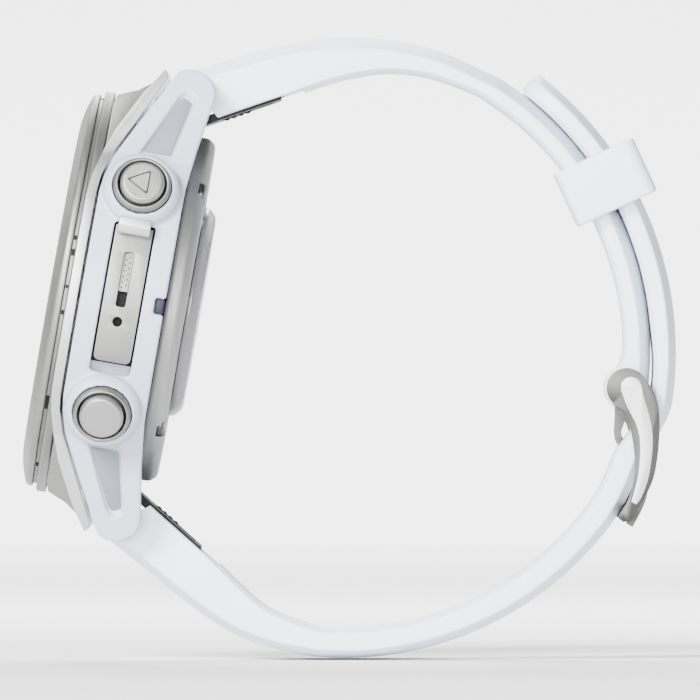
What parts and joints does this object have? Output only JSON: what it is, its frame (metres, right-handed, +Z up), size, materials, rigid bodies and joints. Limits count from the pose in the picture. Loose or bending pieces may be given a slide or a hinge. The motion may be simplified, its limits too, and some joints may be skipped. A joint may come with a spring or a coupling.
{
  "type": "gps running watch",
  "caption": "Round sports watch with side guards, push buttons and a soft band buckled into a closed loop, standing with its dial to one side.",
  "frame": {"origin": "under the middle of the watch box, level with the lowest point of the band", "axes": "+Z up, dial faces -X and leans back 10 degrees so 12 o'clock points up, the two-button side faces -Y, band loop to +X"},
  "size_m": [0.0705, 0.047, 0.067],
  "materials": {
    "bezel_steel": "brushed grey metal with a satin edge",
    "case_steel": "satin grey metal",
    "button_steel": "satin face with polished bevel",
    "buckle_steel": "satin face with polished chamfers",
    "screw_steel": "dark machined steel",
    "guard_polymer": "fine satin lavender-white",
    "case_polymer": "fine satin grey-white",
    "strap_silicone": "soft white silicone",
    "seal_rubber": "black rubber",
    "black_polymer": "black moulded plastic",
    "lens_glass": "polished dark glass",
    "panel_glass": "display panel",
    "board_green": "circuit board with solder mask",
    "cell_foil": "foil pouch",
    "weight_brass": "dense sintered weight"
  },
  "bodies": {
    "case": {"bezel_ring": "bezel_steel", "case_ring": "case_steel", "display_lens": "lens_glass", "lens_gasket": "seal_rubber", "display_panel": "panel_glass", "case_body": "case_polymer", "right_guard": "guard_polymer", "left_guard": "guard_polymer", "right_lug_frame": "case_steel", "left_lug_frame": "case_steel", "upper_lug_pin": "screw_steel", "lower_lug_pin": "screw_steel", "speaker_bar": "case_steel", "speaker_mesh": "cell_foil", "vent_plug": "black_polymer", "back_cover": "case_steel", "back_gasket": "seal_rubber", "sensor_window": "lens_glass", "sensor_board": "board_green", "charging_port": "black_polymer", "main_board": "board_green", "battery": "cell_foil", "speaker": "black_polymer", "vibration_motor": "case_steel", "back_screw_1": "screw_steel", "back_screw_2": "screw_steel", "back_screw_3": "screw_steel", "back_screw_4": "screw_steel", "start_collar": "button_steel", "start_seal": "seal_rubber", "start_switch": "black_polymer", "back_collar": "button_steel", "back_seal": "seal_rubber", "back_switch": "black_polymer", "light_collar": "button_steel", "light_seal": "seal_rubber", "light_switch": "black_polymer", "up_collar": "button_steel", "up_seal": "seal_rubber", "up_switch": "black_polymer", "down_collar": "button_steel", "down_seal": "seal_rubber", "down_switch": "black_polymer"},
    "band": {"buckle_strap": "strap_silicone", "hole_strap": "strap_silicone", "upper_release_hook": "black_polymer", "lower_release_hook": "black_polymer", "buckle_bar": "screw_steel"},
    "upper_latch": {"upper_release_latch": "black_polymer"},
    "lower_latch": {"lower_release_latch": "black_polymer"},
    "buckle": {"buckle_frame": "buckle_steel"},
    "tongue": {"buckle_tongue": "buckle_steel"},
    "keeper_loop": {"keeper": "strap_silicone"},
    "motor_weight": {"eccentric_weight": "weight_brass"},
    "start_button": {"start_cap": "button_steel"},
    "back_button": {"back_cap": "button_steel"},
    "light_button": {"light_cap": "button_steel"},
    "up_button": {"up_cap": "button_steel"},
    "down_button": {"down_cap": "button_steel"}
  },
  "joints": [
    {"name": "start_press", "type": "slide", "parent": "case", "child": "start_button", "axis": [-0.0651, 0.9272, -0.3689], "range_m": [0, 0.0006], "stiffness_N_per_m": 2500, "springref_m": -0.0003},
    {"name": "back_press", "type": "slide", "parent": "case", "child": "back_button", "axis": [0.0651, 0.9272, 0.3689], "range_m": [0, 0.0006], "stiffness_N_per_m": 2500, "springref_m": -0.0003},
    {"name": "light_press", "type": "slide", "parent": "case", "child": "light_button", "axis": [-0.0651, -0.9272, -0.3689], "range_m": [0, 0.0006], "stiffness_N_per_m": 2500, "springref_m": -0.0003},
    {"name": "up_press", "type": "slide", "parent": "case", "child": "up_button", "axis": [0, -1, 0], "range_m": [0, 0.0006], "stiffness_N_per_m": 2500, "springref_m": -0.0003},
    {"name": "down_press", "type": "slide", "parent": "case", "child": "down_button", "axis": [0.0651, -0.9272, 0.3689], "range_m": [0, 0.0006], "stiffness_N_per_m": 2500, "springref_m": -0.0003},
    {"name": "weight_spin", "type": "hinge", "parent": "case", "child": "motor_weight", "pos_m": [-0.02697, 0, 0.02741], "axis": [0, 1, 0], "continuous": true},
    {"name": "band_swing", "type": "hinge", "parent": "case", "child": "band", "pos_m": [-0.02527, 0, 0.01574], "axis": [0, 1, 0], "range_deg": [0, 60]},
    {"name": "upper_latch_slide", "type": "slide", "parent": "band", "child": "upper_latch", "axis": [0.9461, 0, 0.3239], "range_m": [0, 0.0015], "stiffness_N_per_m": 300, "springref_m": -0.0005},
    {"name": "lower_latch_slide", "type": "slide", "parent": "band", "child": "lower_latch", "axis": [0.7466, 0, -0.6652], "range_m": [0, 0.0015], "stiffness_N_per_m": 300, "springref_m": -0.0005},
    {"name": "buckle_tilt", "type": "hinge", "parent": "band", "child": "buckle", "pos_m": [0.0296, 0, 0.0291], "axis": [0, -1, 0], "range_deg": [0, 5]},
    {"name": "tongue_tilt", "type": "hinge", "parent": "band", "child": "tongue", "pos_m": [0.0296, 0, 0.0291], "axis": [0, -1, 0], "range_deg": [0, 5]},
    {"name": "keeper_slide", "type": "hinge", "parent": "band", "child": "keeper_loop", "pos_m": [-0.0027, 0, 0.033], "axis": [0, 1, 0], "range_deg": [-12, 18]}
  ],
  "couplings": [
    {"joint": "tongue_tilt", "follows": "buckle_tilt", "ratio": 1}
  ]
}
